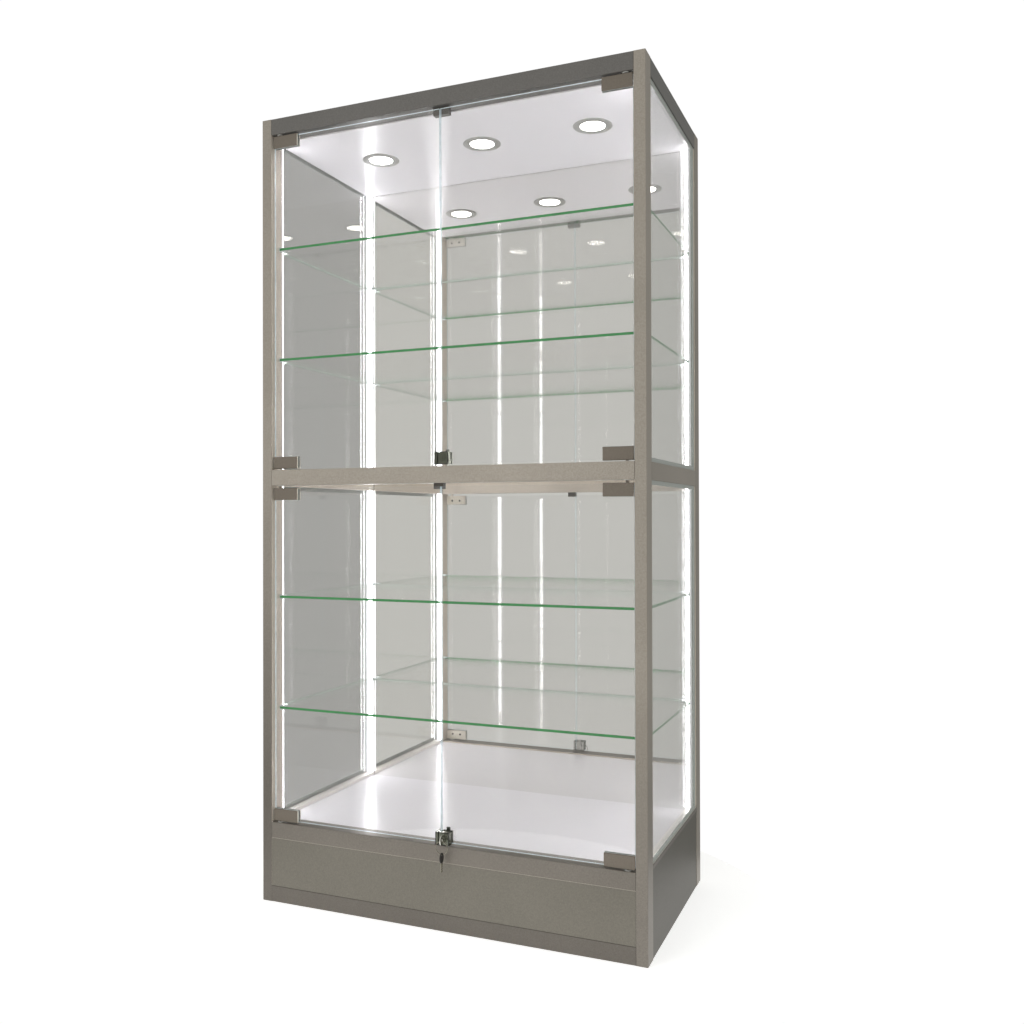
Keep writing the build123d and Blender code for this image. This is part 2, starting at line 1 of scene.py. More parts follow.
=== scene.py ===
# %% [markdown]
# # An upright glass showcase
#
# The case has a powder-coated aluminium frame, a mirror back, four glass shelves, lamp tape in its
# corners, three downlights and four frameless glass doors. The solids come ready made from the packed
# model and stay where they are. This lesson gives them their finishes and builds the small fittings that
# want more shape than a solid block has: clamp pads and screws, lock faces, keys, lamp chips, downlights
# and a cable gland.

import bmesh
import bpy
import json
import math
from mathutils import Matrix, Vector


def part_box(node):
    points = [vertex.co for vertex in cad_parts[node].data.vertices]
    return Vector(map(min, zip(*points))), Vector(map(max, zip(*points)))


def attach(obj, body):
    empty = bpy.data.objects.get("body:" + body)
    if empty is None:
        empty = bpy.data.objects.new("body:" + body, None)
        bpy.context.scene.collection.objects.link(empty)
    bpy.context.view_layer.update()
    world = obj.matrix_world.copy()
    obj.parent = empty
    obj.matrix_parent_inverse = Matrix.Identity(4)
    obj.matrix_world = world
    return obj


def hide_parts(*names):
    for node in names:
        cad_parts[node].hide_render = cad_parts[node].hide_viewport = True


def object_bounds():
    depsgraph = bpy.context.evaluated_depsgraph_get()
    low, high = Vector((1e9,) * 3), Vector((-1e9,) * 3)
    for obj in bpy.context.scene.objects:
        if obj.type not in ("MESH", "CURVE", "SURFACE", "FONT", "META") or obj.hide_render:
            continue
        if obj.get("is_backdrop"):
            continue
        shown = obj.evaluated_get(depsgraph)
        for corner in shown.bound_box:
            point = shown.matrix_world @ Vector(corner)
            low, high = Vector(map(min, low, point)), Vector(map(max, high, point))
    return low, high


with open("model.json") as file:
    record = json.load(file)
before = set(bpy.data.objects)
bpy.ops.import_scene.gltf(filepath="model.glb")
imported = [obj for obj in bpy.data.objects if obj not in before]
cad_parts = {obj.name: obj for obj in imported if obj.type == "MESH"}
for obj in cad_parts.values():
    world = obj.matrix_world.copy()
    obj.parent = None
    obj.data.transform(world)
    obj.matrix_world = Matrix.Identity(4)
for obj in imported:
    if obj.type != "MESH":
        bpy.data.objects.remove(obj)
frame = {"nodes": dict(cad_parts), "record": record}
nodes = frame["nodes"]
cad_low, cad_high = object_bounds()
slot_of_node = {s["node"]: s["material_slot"] for s in frame["record"]["subparts"]}
MM = 0.001

# %% [markdown]
# ## Shader maths as plain expressions
#
# A material is a small network of nodes. Wiring each Math node by hand hides what the sum is, so a socket
# is wrapped in a class that knows plus, minus, times, powers and comparisons. `1 - mask` then adds the
# node it stands for. Colours go through a Mix node instead, because a Math node would turn them grey.

# %% A socket that can be reckoned with


class Value:
    """A node's output, with the operators that the finishes below use."""

    def __init__(self, tree, socket):
        self.tree = tree
        self.socket = socket

    def math(self, operation, *others):
        return self.tree.node("Math", {"operation": operation}, dict(enumerate((self, *others))))

    def __add__(self, other):
        return self.math("ADD", other)

    def __mul__(self, other):
        return self.math("MULTIPLY", other)

    def __sub__(self, other):
        return self.math("SUBTRACT", other)

    def __rsub__(self, other):
        return self.tree.node("Math", {"operation": "SUBTRACT"}, {0: other, 1: self})

    def __pow__(self, other):
        return self.math("POWER", other)

    def __gt__(self, other):
        return self.math("GREATER_THAN", other)

    def __lt__(self, other):
        return self.math("LESS_THAN", other)

    __radd__ = __add__
    __rmul__ = __mul__


class Finish:
    """One material being made."""

    def __init__(self, name):
        self.material = bpy.data.materials.new(name)
        self.material.use_nodes = True
        self.nodes = self.material.node_tree.nodes
        self.links = self.material.node_tree.links
        self.nodes.clear()
        self.output = self.nodes.new("ShaderNodeOutputMaterial")

    def node(self, kind, settings=None, inputs=None, out=0):
        """Add a node: its settings are set first, then the values or links of its sockets."""
        made = self.nodes.new("ShaderNode" + kind)
        for key, value in (settings or {}).items():
            if key == "stops":
                self.set_stops(made.color_ramp, value)
            else:
                setattr(made, key, value)
        for key, value in (inputs or {}).items():
            if isinstance(value, Value):
                self.links.new(value.socket, made.inputs[key])
            else:
                made.inputs[key].default_value = value
        return Value(self, made.outputs[out])

    def set_stops(self, ramp, stops):
        while len(ramp.elements) < len(stops):
            ramp.elements.new(0.5)
        for element, (place, colour) in zip(ramp.elements, stops):
            element.position = place
            element.color = (*colour, 1)

    def place(self):
        """Object coordinates, in metres on a piece that sits at the origin."""
        return self.node("TexCoord", out="Object")

    def axis(self, vector, name):
        return self.node("SeparateXYZ", {}, {0: vector}, out=name)

    def facing(self, name):
        """How much a face looks along an axis of its own piece, which holds once the piece has swung."""
        return self.axis(self.node("TexCoord", out="Normal"), name)

    def facing_side(self, name):
        """The same, either way along the axis."""
        return self.facing(name).math("ABSOLUTE")

    def away_from_middle(self, place):
        """Above nought on faces that look out of the case, below it on faces that look in."""
        return self.facing("X") * self.axis(place, "X") + self.facing("Y") * self.axis(place, "Y")

    def looks_inward(self, place):
        """One on faces that look into the case, nought on the others."""
        return self.away_from_middle(place) < -0.05

    def looks_outward(self, place):
        """One on faces that look out of the case, nought on the others."""
        return self.away_from_middle(place) > 0.05

    def noise(self, vector, scale, detail=2.0, rough=0.5):
        return self.node("TexNoise", {}, {
            "Vector": vector, "Scale": scale, "Detail": detail, "Roughness": rough})

    def blend(self, share, first, second):
        """Mix two colours; share 0 is the first and 1 the second."""
        pick = self.nodes.new("ShaderNodeMix")
        pick.data_type = "RGBA"
        for key, value in ((0, share), (6, first), (7, second)):
            if isinstance(value, Value):
                self.links.new(value.socket, pick.inputs[key])
            else:
                pick.inputs[key].default_value = (*value, 1) if isinstance(value, tuple) else value
        return Value(self, pick.outputs[2])

    def bump(self, height, distance, strength=1.0):
        return self.node("Bump", {}, {"Height": height, "Distance": distance, "Strength": strength})

    def done(self, surface):
        self.links.new(surface.socket, self.output.inputs["Surface"])
        return self.material


def linear(red, green, blue):
    """Turn a colour as screens show it, 0 to 255, into the light it stands for."""
    shares = (red / 255, green / 255, blue / 255)
    return tuple(c / 12.92 if c <= 0.04045 else ((c + 0.055) / 1.055) ** 2.4 for c in shares)


print("champagne in plain light:", [round(c, 3) for c in linear(150, 143, 132)])

# %% [markdown]
# ## Powder coat
#
# Powder coat is paint baked on as dust. It has a fine orange-peel skin and a faint metallic fleck. A fine
# noise gives the fleck, a coarser one the skin, and a very coarse one the slow change of tone along a
# rail. Where a rail meets a post there is a thin dark line. In a shop each bar catches the light
# differently, so each has its own painted shade here, and the front posts are painted darker at the foot
# than at the top. Faces that look into the case stand in its lamps' light and are painted paler, a painted
# light by choice: the real coat is probably the same all round. At the plinth a thin painted highlight
# runs along the base rail's foot and a thin painted shadow along the skirt rail's top.

# %% Powder-coated frame
post_inner_x = -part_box("post_front_left")[1].x
post_inner_y = -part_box("post_front_left")[1].y
hair = 0.6 * MM


def scaled(colour, share):
    """Make a colour darker or lighter; a share is one number or three."""
    shares = share if isinstance(share, tuple) else (share, share, share)
    return tuple(min(1.0, c * k) for c, k in zip(colour, shares))


def near_plane(f, place, name, where, half=hair):
    """One within a hair of a plane, and nought elsewhere."""
    away = (f.axis(place, name).math("ABSOLUTE") - where).math("ABSOLUTE")
    return away < half


def butt_joints(f, place):
    """Thin lines where rails meet posts, on faces that cross the joint and not on those that lie in it."""
    on_front = near_plane(f, place, "X", post_inner_x) * (f.facing_side("Y") > 0.5)
    on_side = near_plane(f, place, "Y", post_inner_y) * (f.facing_side("X") > 0.5)
    return on_front.math("MAXIMUM", on_side)


def powder_coat(name, dark, light, rough=0.42, low=1.0, high=1.0, rise=(0.9, 1.7), line=None, inside=2.1,
                painted_light_all_but_outward=False):
    """Coat a bar: low and high are painted shades of its foot and its top, and rise says between which
    heights they change.

    line is a thin painted band at a height, with its shade: lighter for a painted highlight, darker for a
    painted shadow. inside is painted light on the faces that look into the case, and the last flag gives
    it to every face but the outward ones.
    """
    f = Finish(name)
    place = f.place()
    fleck = f.noise(place, 1500.0, 3.0, 0.6)
    grit = f.noise(place, 330.0, 2.0, 0.65)
    cloud = f.noise(place, 5.0, 2.0, 0.5)
    tone = fleck * 0.35 + grit * 0.75 + cloud * 0.3 - 0.18
    # How far up the bar a point is, from the painted shade of the foot to the painted shade of the top.
    painted_height_shade = f.node("MapRange", {"clamp": True}, {
        "Value": f.axis(place, "Z"), "From Min": rise[0], "From Max": rise[1]})
    foot = f.blend(tone, scaled(dark, low), scaled(light, low))
    top = f.blend(tone, scaled(dark, high), scaled(light, high))
    outer = f.blend(painted_height_shade, foot, top)
    # Painted light: faces that look into the case, or with the last flag every face but the outward ones,
    # get a paler copy of the coat.
    inner = f.blend(tone, scaled(dark, inside), scaled(light, inside))
    shown = f.looks_outward(place) if painted_light_all_but_outward else 1.0 - f.looks_inward(place)
    colour = f.blend(butt_joints(f, place) * 0.7, f.blend(shown, inner, outer), scaled(dark, 0.3))
    # A thin painted band along a seam: a painted highlight when its shade is high, a painted shadow when
    # low.
    if line:
        where, shade = line
        colour = f.blend(near_plane(f, place, "Z", where, 1.1 * MM), colour, scaled(light, shade))
    peel = f.noise(place, 420.0, 2.0, 0.5)
    skin = f.bump(peel, 0.00012, 0.5)
    surface = f.node("BsdfPrincipled", {}, {
        "Base Color": colour, "Roughness": fleck * 0.16 + (rough - 0.08),
        "Metallic": 0.35, "Normal": skin})
    return f.done(surface)


finish = {}
coat_dark, coat_light = linear(122, 115, 106), linear(176, 168, 158)
# Each bar's painted shade at its foot and its top, and its painted light on inner faces; the plinth's rails
# carry a painted highlight line and a painted shadow line.
bar_painted_shades = {
    "top_rail": dict(low=(0.50, 0.53, 0.58), high=(0.50, 0.53, 0.58)),
    "top_cover": dict(low=0.6, high=0.6),
    "mid_rail_front": dict(low=1.2, high=1.2),
    "mid_rail": dict(low=1.05, high=1.05),
    "post_front_left": dict(low=0.48, high=1.1, rise=(0.25, 1.1)),
    "post_front_right": dict(low=0.65, high=1.15, rise=(0.1, 0.6)),
    "post_rear": dict(low=0.92, high=0.92),
    "base_rail_front": dict(low=0.62, high=0.62, line=(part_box("base_rail_front")[0].z, 1.0)),
    "base_rail": dict(low=0.6, high=0.6, inside=3.4, painted_light_all_but_outward=True),
    "skirt_rail_front": dict(low=0.46, high=0.46, line=(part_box("skirt_rail_front")[1].z, 0.25)),
    "side_sills": dict(low=0.5, high=0.5, inside=3.4, painted_light_all_but_outward=True),
}
finish["frame"] = powder_coat("champagne_powder_coat", coat_dark, coat_light)
coats = {}
for bar, shades in bar_painted_shades.items():
    coats[bar] = powder_coat("coat_" + bar, coat_dark, coat_light, **shades)
panel_dark, panel_light = linear(116, 112, 102), linear(164, 158, 146)
# The plinth and kick panel coats are painted darker, a painted shade.
finish["plinth"] = powder_coat("champagne_panel_coat", panel_dark, panel_light, 0.46, low=0.38, high=0.38)
coats["kick_panel_front"] = powder_coat(
    "coat_kick_panel", panel_dark, panel_light, 0.46, low=0.67, high=0.67)
clamp_dark, clamp_light = linear(106, 97, 87), linear(150, 140, 128)
# The clamps' coat is painted a little darker, with a strong painted light on faces that look into the case.
finish["clamp"] = powder_coat(
    "champagne_clamp_coat", clamp_dark, clamp_light, 0.36, low=0.82, high=0.82, inside=4.2)
print("powder coats:", [m.name for m in finish.values()])

# %% [markdown]
# ## Glass
#
# Flat glass shifts what is behind it so little that a pane can be treated as a film: most light goes
# straight through, and more is thrown back the flatter it arrives. Schlick's rule gives that share from
# how square the pane stands to the sight line. The cut edge is another matter: light runs along inside
# the sheet and comes out green, so the edge faces get a colour of their own, and a faint painted glow,
# since cut glass gives no light of its own. On the shelves the front and right edges show the green, and
# the back and left ones are painted pale, a painted light. They are told apart by place, because a face
# seen from behind has its facing turned round.

# %% Clear panes and green-edged shelves


shelf_low, shelf_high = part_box("shelf_1")


def pane(name, tint, edge, edge_painted_glow, thin_axis, painted_pale_edge=None):
    f = Finish(name)
    square = f.node("LayerWeight", {}, {"Blend": 0.5}, out="Facing")
    mirror_share = (square ** 5.0) * 0.9 + 0.045
    smear = f.noise(f.place(), 7.0, 3.0, 0.5)
    clear = f.node("BsdfTransparent", {}, {"Color": (*tint, 1)})
    gloss = f.node("BsdfPrincipled", {}, {
        "Base Color": (0.94, 0.94, 0.935, 1), "Metallic": 1.0, "Roughness": smear * 0.008 + 0.002})
    face = f.node("MixShader", {}, {0: mirror_share, 1: clear, 2: gloss})
    streak = f.noise(f.place(), 60.0, 2.0, 0.6)
    edge_colour = f.blend(streak, scaled(edge, 0.7), scaled(edge, 1.3))
    # Painted light: the back and left edges of a shelf are painted pale, and only the front and right keep
    # the green.
    if painted_pale_edge:
        lit = (f.axis(f.place(), "Y") < shelf_low.y + hair).math(
            "MAXIMUM", f.axis(f.place(), "X") > shelf_high.x - hair)
        edge_colour = f.blend(lit, painted_pale_edge, edge_colour)
    # The cut edge's emission is a painted glow: glass gives no light of its own.
    cut = f.node("BsdfPrincipled", {}, {
        "Base Color": edge_colour, "Roughness": 0.18, "Emission Color": edge_colour,
        "Emission Strength": edge_painted_glow})
    is_edge = f.facing_side(thin_axis) < 0.5
    return f.done(f.node("MixShader", {}, {0: is_edge, 1: face, 2: cut}))


# The number after each edge colour is the painted glow of that pane's cut edges.
finish["door_glass"] = pane("door_glass_clear", (0.976, 0.973, 0.974), linear(206, 218, 222), 0.16, "Y")
finish["side_glass"] = pane("side_glass_clear", (0.968, 0.966, 0.962), linear(196, 210, 202), 0.3, "X")
# The pale shelf edge colour is painted light, for the back and left edges.
shelf_green, shelf_painted_pale = linear(18, 116, 50), linear(150, 162, 152)
finish["shelf_glass"] = pane(
    "shelf_glass_green_edge", (0.981, 0.980, 0.979), shelf_green, 0.3, "Z", shelf_painted_pale)
print("glass:", finish["shelf_glass"].name)

# %% [markdown]
# ## Mirror, board and white laminate
#
# The mirror is silver behind float glass, so it is a metal with hardly any roughness and a faint warm
# cast. The floor and ceiling are a glossy white laminate: bright, with a soft sheen that blurs what it
# reflects.

# %% Mirror and boards
f = Finish("silvered_mirror")
haze = f.noise(f.place(), 3.0, 2.0, 0.5)
tone = f.blend(haze, (0.855, 0.85, 0.83), (0.885, 0.88, 0.86))
finish["mirror"] = f.done(f.node("BsdfPrincipled", {}, {
    "Base Color": tone, "Metallic": 1.0, "Roughness": haze * 0.012 + 0.002}))

f = Finish("white_laminate")
mottle = f.noise(f.place(), 90.0, 3.0, 0.6)
tone = f.blend(mottle, (0.85, 0.83, 0.865), (0.90, 0.88, 0.915))
finish["white_board"] = f.done(f.node("BsdfPrincipled", {}, {
    "Base Color": tone, "Roughness": mottle * 0.1 + 0.2,
    "Normal": f.bump(mottle, 0.00005, 0.3)}))

f = Finish("raw_fibreboard")
stretched = f.node("Mapping", {}, {"Vector": f.place(), "Scale": (900.0, 900.0, 140.0)})
fibre = f.node("TexNoise", {}, {"Vector": stretched, "Scale": 1.0, "Detail": 4.0})
tone = f.blend(fibre, linear(112, 88, 62), linear(160, 132, 98))
finish["backing"] = f.done(f.node("BsdfPrincipled", {}, {
    "Base Color": tone, "Roughness": 0.82, "Normal": f.bump(fibre, 0.0002, 0.5)}))
print("boards:", finish["white_board"].name, finish["backing"].name)

# %% [markdown]
# ## Small finishes
#
# Rubber, moulded plastics, chrome and nickel. Each has a fine grain of its own, in its colour, its
# roughness and its skin, so that nothing reads as one flat colour. The lock's chrome is two painted
# copies: its back is painted paler than its face, by choice, a painted light for the case's lamps as on
# the bars' inner faces, and its face darker, a painted shade for the dark it reflects.

# %% Metals, plastics and rubber


def small_finish(name, dark, light, rough, metal=0.0, grain=800.0, stretch=(1.0, 1.0, 1.0), depth=0.00004):
    f = Finish(name)
    spread = f.node("Mapping", {}, {"Vector": f.place(), "Scale": stretch})
    grit = f.noise(spread, grain, 3.0, 0.55)
    surface = f.node("BsdfPrincipled", {}, {
        "Base Color": f.blend(grit, dark, light), "Metallic": metal,
        "Roughness": grit * (rough * 0.5) + rough * 0.75,
        "Normal": f.bump(grit, depth, 0.4)})
    return f.done(surface)


finish["gasket"] = small_finish("glazing_rubber", linear(150, 154, 150), linear(188, 192, 188), 0.6)
finish["lamp_ring"] = small_finish(
    "satin_lamp_ring", linear(150, 149, 146), linear(182, 181, 177), 0.5, 0.15)
finish["lamp_can"] = small_finish("cast_lamp_can", linear(130, 132, 134), linear(165, 167, 169), 0.55, 0.8)
finish["driver"] = small_finish("driver_casing", linear(188, 188, 185), linear(206, 206, 203), 0.5)
finish["gland"] = small_finish("black_gland_rubber", linear(22, 22, 22), linear(44, 44, 44), 0.6)
finish["clip"] = small_finish("clear_clip_plastic", linear(205, 212, 212), linear(235, 240, 240), 0.15)
finish["stop"] = small_finish("dark_stop_plastic", linear(60, 55, 50), linear(92, 86, 78), 0.45)
finish["bush"] = small_finish("white_nylon", linear(200, 200, 196), linear(228, 228, 224), 0.4)
finish["key_bright"] = small_finish(
    "bright_key_head", linear(196, 194, 188), linear(232, 230, 224), 0.18, 1.0, 700.0)
finish["key"] = small_finish(
    "nickel_key", linear(120, 116, 104), linear(170, 166, 152), 0.25, 1.0, 900.0, (1, 1, 0.2))
finish["key_head"] = small_finish("dark_key_head", linear(24, 23, 22), linear(48, 46, 44), 0.4)
finish["keyhole"] = small_finish("dark_keyway", linear(10, 10, 10), linear(24, 23, 22), 0.5)
finish["screw"] = small_finish("dark_screw", linear(60, 58, 54), linear(96, 92, 86), 0.35, 0.9)
finish["pad"] = small_finish("clear_clamp_pad", linear(188, 192, 190), linear(214, 218, 216), 0.4)
print("small finishes:", len(finish), "finishes so far")

# %% Lock metal
f = Finish("chrome_lock")
grit = f.noise(f.place(), 500.0, 3.0, 0.55)
# Two copies of one chrome: the face painted dark for the dark it reflects, the back painted pale for the
# case's lamps.
painted_dark_face = f.blend(grit, linear(70, 72, 62), linear(124, 126, 114))
painted_lit_back = f.blend(grit, linear(178, 178, 172), linear(214, 214, 208))
finish["lock"] = f.done(f.node("BsdfPrincipled", {}, {
    "Base Color": f.blend(f.facing("Y") > 0.5, painted_dark_face, painted_lit_back), "Metallic": 0.9,
    "Roughness": grit * 0.06 + 0.08, "Normal": f.bump(grit, 0.00003, 0.4)}))
print(len(finish), "finishes")

# %% [markdown]
# ## Light that the case gives
#
# Lamp tape is a row of chips on a white strip, so close together that they read as a beaded line. The
# chips are separate pieces, about five times as bright as the strip between them, which covers more and
# gives the larger part of the light. The lens of a downlight is opal and a little warmer.

# %% Glowing finishes


def glow(name, colour, strength, grain=400.0):
    f = Finish(name)
    speck = f.noise(f.place(), grain, 2.0, 0.5)
    tone = f.blend(speck, tuple(c * 0.94 for c in colour), colour)
    return f.done(f.node("BsdfPrincipled", {}, {
        "Base Color": tone, "Roughness": 0.4, "Emission Color": tone, "Emission Strength": strength}))


finish["tape"] = glow("lamp_tape_strip", (0.96, 0.965, 1.0), 13.0)
finish["chip"] = glow("lamp_tape_chip", (0.97, 0.975, 1.0), 62.0)
# The milky channel is no lamp: its faint glow is painted light.
finish["channel"] = glow("milky_channel_painted_glow", (0.97, 0.97, 1.0), 0.28)
finish["lamp_lens"] = glow("opal_lens", (1.0, 0.985, 0.955), 14.0)
print("glowing:", finish["chip"].name, finish["lamp_lens"].name)

# %% [markdown]
# ## A finish for every solid
#
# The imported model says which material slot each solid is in, and each slot has a finish by the same name.
# Door glass is told from side glass by name, and a bar that has a shade of its own takes that.

# %% Give every solid its finish
special = {"clear_glass": "side_glass"}
for name, solid in nodes.items():
    slot = slot_of_node[name]
    key = "door_glass" if name.startswith("door_glass") else special.get(slot, slot)
    bars = [bar for bar in coats if name.startswith(bar)]
    solid.data.materials.clear()
    solid.data.materials.append(coats[max(bars, key=len)] if bars else finish[key])
print("finished", len(nodes), "solids")

# %% [markdown]
# ## Helpers for new pieces
#
# A new piece starts from a primitive in a bmesh, is shaped by operators, and is written to a mesh whose
# object stays at the origin. It then rides on the body of the solid that it belongs to.

# %% From a bmesh to a piece


def to_piece(bm, name, body, material, smooth=False):
    """Write a bmesh to an object at the origin and fasten it to a body."""
    bmesh.ops.remove_doubles(bm, verts=bm.verts, dist=1e-7)
    bmesh.ops.recalc_face_normals(bm, faces=bm.faces)
    mesh = bpy.data.meshes.new(name)
    bm.to_mesh(mesh)
    bm.free()
    for polygon in mesh.polygons:
        polygon.use_smooth = smooth
    piece = bpy.data.objects.new(name, mesh)
    bpy.context.scene.collection.objects.link(piece)
    mesh.materials.append(material)
    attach(piece, body)
    return piece


def add_block(bm, low, high, ease=0.0, segments=2):
    """Add a box between two corners to a bmesh, with its edges eased."""
    low, high = Vector(low), Vector(high)
    size = high - low
    place = Matrix.Translation((low + high) / 2) @ Matrix.Diagonal((*size, 1))
    made = bmesh.ops.create_cube(bm, size=1.0, matrix=place)
    if ease:
        edges = {e for v in made["verts"] for e in v.link_edges}
        bmesh.ops.bevel(bm, geom=list(edges), offset=ease, offset_type="OFFSET", segments=segments,
                        profile=0.5, affect="EDGES", material=-1)


def add_spun(bm, profile, place, steps=48):
    """Spin an open profile of (radius, height) points about Z, then put it in place."""
    made = [bm.verts.new((r, 0, h)) for r, h in profile]
    edges = [bm.edges.new(pair) for pair in zip(made, made[1:])]
    spun = bmesh.ops.spin(bm, geom=made + edges, cent=(0, 0, 0), axis=(0, 0, 1), angle=math.tau, steps=steps,
                          use_merge=True)
    touched = set(made) | {g for g in spun["geom_last"] if isinstance(g, bmesh.types.BMVert)}
    stack = list(touched)
    while stack:
        for edge in stack.pop().link_edges:
            for vert in edge.verts:
                if vert not in touched:
                    touched.add(vert)
                    stack.append(vert)
    touched = [v for v in touched if v.is_valid]
    bmesh.ops.remove_doubles(bm, verts=touched, dist=1e-7)
    bmesh.ops.transform(bm, matrix=place, verts=[v for v in touched if v.is_valid])


print("helpers ready")

# %% [markdown]
# ## Lamp chips on the tape
#
# Each corner has a sloping channel with a tape stuck on it. The tape's chips are three and a half
# millimetres square, nine millimetres apart. One small block is made per chip, turned to lie on the
# slope. They are gathered in one mesh for each run of tape, so some hundreds of chips cost little.

# %% Chips
tape_low, tape_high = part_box("led_tapes")
rail_low, rail_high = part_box("mid_rail_front")
chip_size, chip_proud, chip_pitch = 3.5 * MM, 0.5 * MM, 9.0 * MM
slope_from_corner = 10.0 * MM
tape_thick = 1.5 * MM
side_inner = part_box("side_glass_right")[0].x
lamp_runs = ((tape_low.z, rail_low.z), (rail_high.z, tape_high.z))
chip_count = 0
for level, (run_low, run_high) in zip(("lower", "upper"), lamp_runs):
    for sx, side in ((-1, "left"), (1, "right")):
        for sy, end in ((-1, "front"), (1, "rear")):
            bm = bmesh.new()
            inward = Vector((-sx, -sy, 0)).normalized()
            foot_x, foot_y = side_inner - slope_from_corner, post_inner_y - slope_from_corner
            foot = Vector((sx * foot_x, sy * foot_y, 0))
            face = foot + inward * (tape_thick + chip_proud / 2)
            turn_chip = Matrix.Rotation(math.atan2(inward.y, inward.x), 4, "Z")
            z = run_low + chip_pitch
            while z < run_high - chip_pitch / 2:
                size = Matrix.Diagonal((chip_proud, chip_size, chip_size, 1))
                place = Matrix.Translation((face.x, face.y, z)) @ turn_chip @ size
                bmesh.ops.create_cube(bm, size=1.0, matrix=place)
                z += chip_pitch
                chip_count += 1
            to_piece(bm, f"lamp_chips_{level}_{end}_{side}", "root", finish["chip"])
print(chip_count, "chips")

# %% [markdown]
# ## Downlights
#
# A downlight is a ring with a rolled outer lip and a stepped reflector, round an opal lens that bulges
# slightly. Both are spun from a profile, as a lathe would turn them, and each ends in a closed wall.

# %% Rings and lenses
ring_low, ring_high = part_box("downlight_trims")
rim = (ring_high.y - ring_low.y) / 2
middle_y = (ring_high.y + ring_low.y) / 2
under = ring_high.z
first_x, last_x = ring_low.x + rim, ring_high.x - rim
lens_radius = 31.0 * MM
bore = lens_radius + 0.2 * MM
reflector = ((0.0, 0.0), (0.0, -0.8), (1.2, -1.9), (2.4, -2.3), (3.8, -2.2), (4.8, -2.5))
rolled_lip = ((7.0, -2.4), (3.0, -1.9), (0.6, -1.1), (0.0, -0.4), (0.0, 0.0))
ring_profile = [(bore + out * MM, h * MM) for out, h in reflector]
ring_profile += [(rim - back * MM, h * MM) for back, h in rolled_lip]
ring_profile += [(bore, 0.0)]
lens_bulge = ((1.5, -0.8), (7.0, -1.3), (15.0, -1.7), (23.0, -1.9))
lens_profile = [(0.0, 0.0), (lens_radius, 0.0), (lens_radius, -0.4 * MM)]
lens_profile += [(lens_radius - back * MM, h * MM) for back, h in lens_bulge]
lens_profile += [(0.0, -2.0 * MM)]
bm_ring, bm_lens = bmesh.new(), bmesh.new()
for step in range(3):
    spot = Matrix.Translation((first_x + (last_x - first_x) * step / 2, middle_y, under))
    add_spun(bm_ring, ring_profile, spot)
    add_spun(bm_lens, lens_profile, spot)
rings = to_piece(bm_ring, "downlight_rings", "root", finish["lamp_ring"], smooth=True)
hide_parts("downlight_trims")
opals = to_piece(bm_lens, "downlight_opals", "root", finish["lamp_lens"], smooth=True)
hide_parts("downlight_lenses")
print("downlights at", [round(first_x + (last_x - first_x) * i / 2, 3) for i in range(3)])

# %% [markdown]
# ## Door clamps: pads and screws
#
# A clamp grips the glass between two plates. A clear pad keeps metal off glass and shows as a pale line
# round the plate's edge, and two screws at the back pull the plates together. A screw's head is spun,
# with a round well in the middle.

# %% Pads and screws
plate_long, plate_tall, plate_web = 70.0 * MM, 30.0 * MM, 2.0 * MM
pad_proud, pad_thick = 0.9 * MM, 0.6 * MM
screw_head = [(r * MM, h * MM) for r, h in (
    (0.0, 0.2), (1.6, 0.2), (1.6, 1.0), (2.6, 1.0), (3.3, 0.6), (3.5, 0.0), (0.0, 0.0))]
for level in ("upper", "lower"):
    for sx, side in ((-1, "left"), (1, "right")):
        door = f"door_{level}_{side}"
        low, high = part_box(f"door_glass_{level}_{side}")
        plate_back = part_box(f"hinge_clamps_{level}_{side}")[1].y
        edge_x = high.x if sx > 0 else low.x
        inner_end = edge_x - sx * plate_long
        bm_pad, bm_screw = bmesh.new(), bmesh.new()
        for edge_z, way in ((low.z, 1), (high.z, -1)):
            free_z = edge_z + way * (plate_tall - plate_web)
            xs = sorted((edge_x, inner_end - sx * pad_proud))
            zs = sorted((edge_z, free_z + way * pad_proud))
            add_block(bm_pad, (xs[0], low.y - pad_thick, zs[0]), (xs[1], low.y, zs[1]), 0.15 * MM, 1)
            add_block(bm_pad, (xs[0], high.y, zs[0]), (xs[1], high.y + pad_thick, zs[1]), 0.15 * MM, 1)
            for share in (0.3, 0.7):
                screw_x, screw_z = edge_x - sx * plate_long * share, edge_z + way * plate_tall / 2
                spot = Matrix.Translation((screw_x, plate_back, screw_z))
                add_spun(bm_screw, screw_head, spot @ Matrix.Rotation(-math.pi / 2, 4, "X"), 24)
        to_piece(bm_pad, f"clamp_pads_{level}_{side}", door, finish["pad"])
        to_piece(bm_screw, f"clamp_screws_{level}_{side}", door, finish["screw"])
print("pads and screws on four doors")

# %% [markdown]
# ## Lock faces
#
# Round the plug sits a collar. It is a ring with a rounded crown, spun and laid against the lock's face.
# A dark rim outlines the lock and the strike together, so the pair reads as one plate while the doors are
# shut.

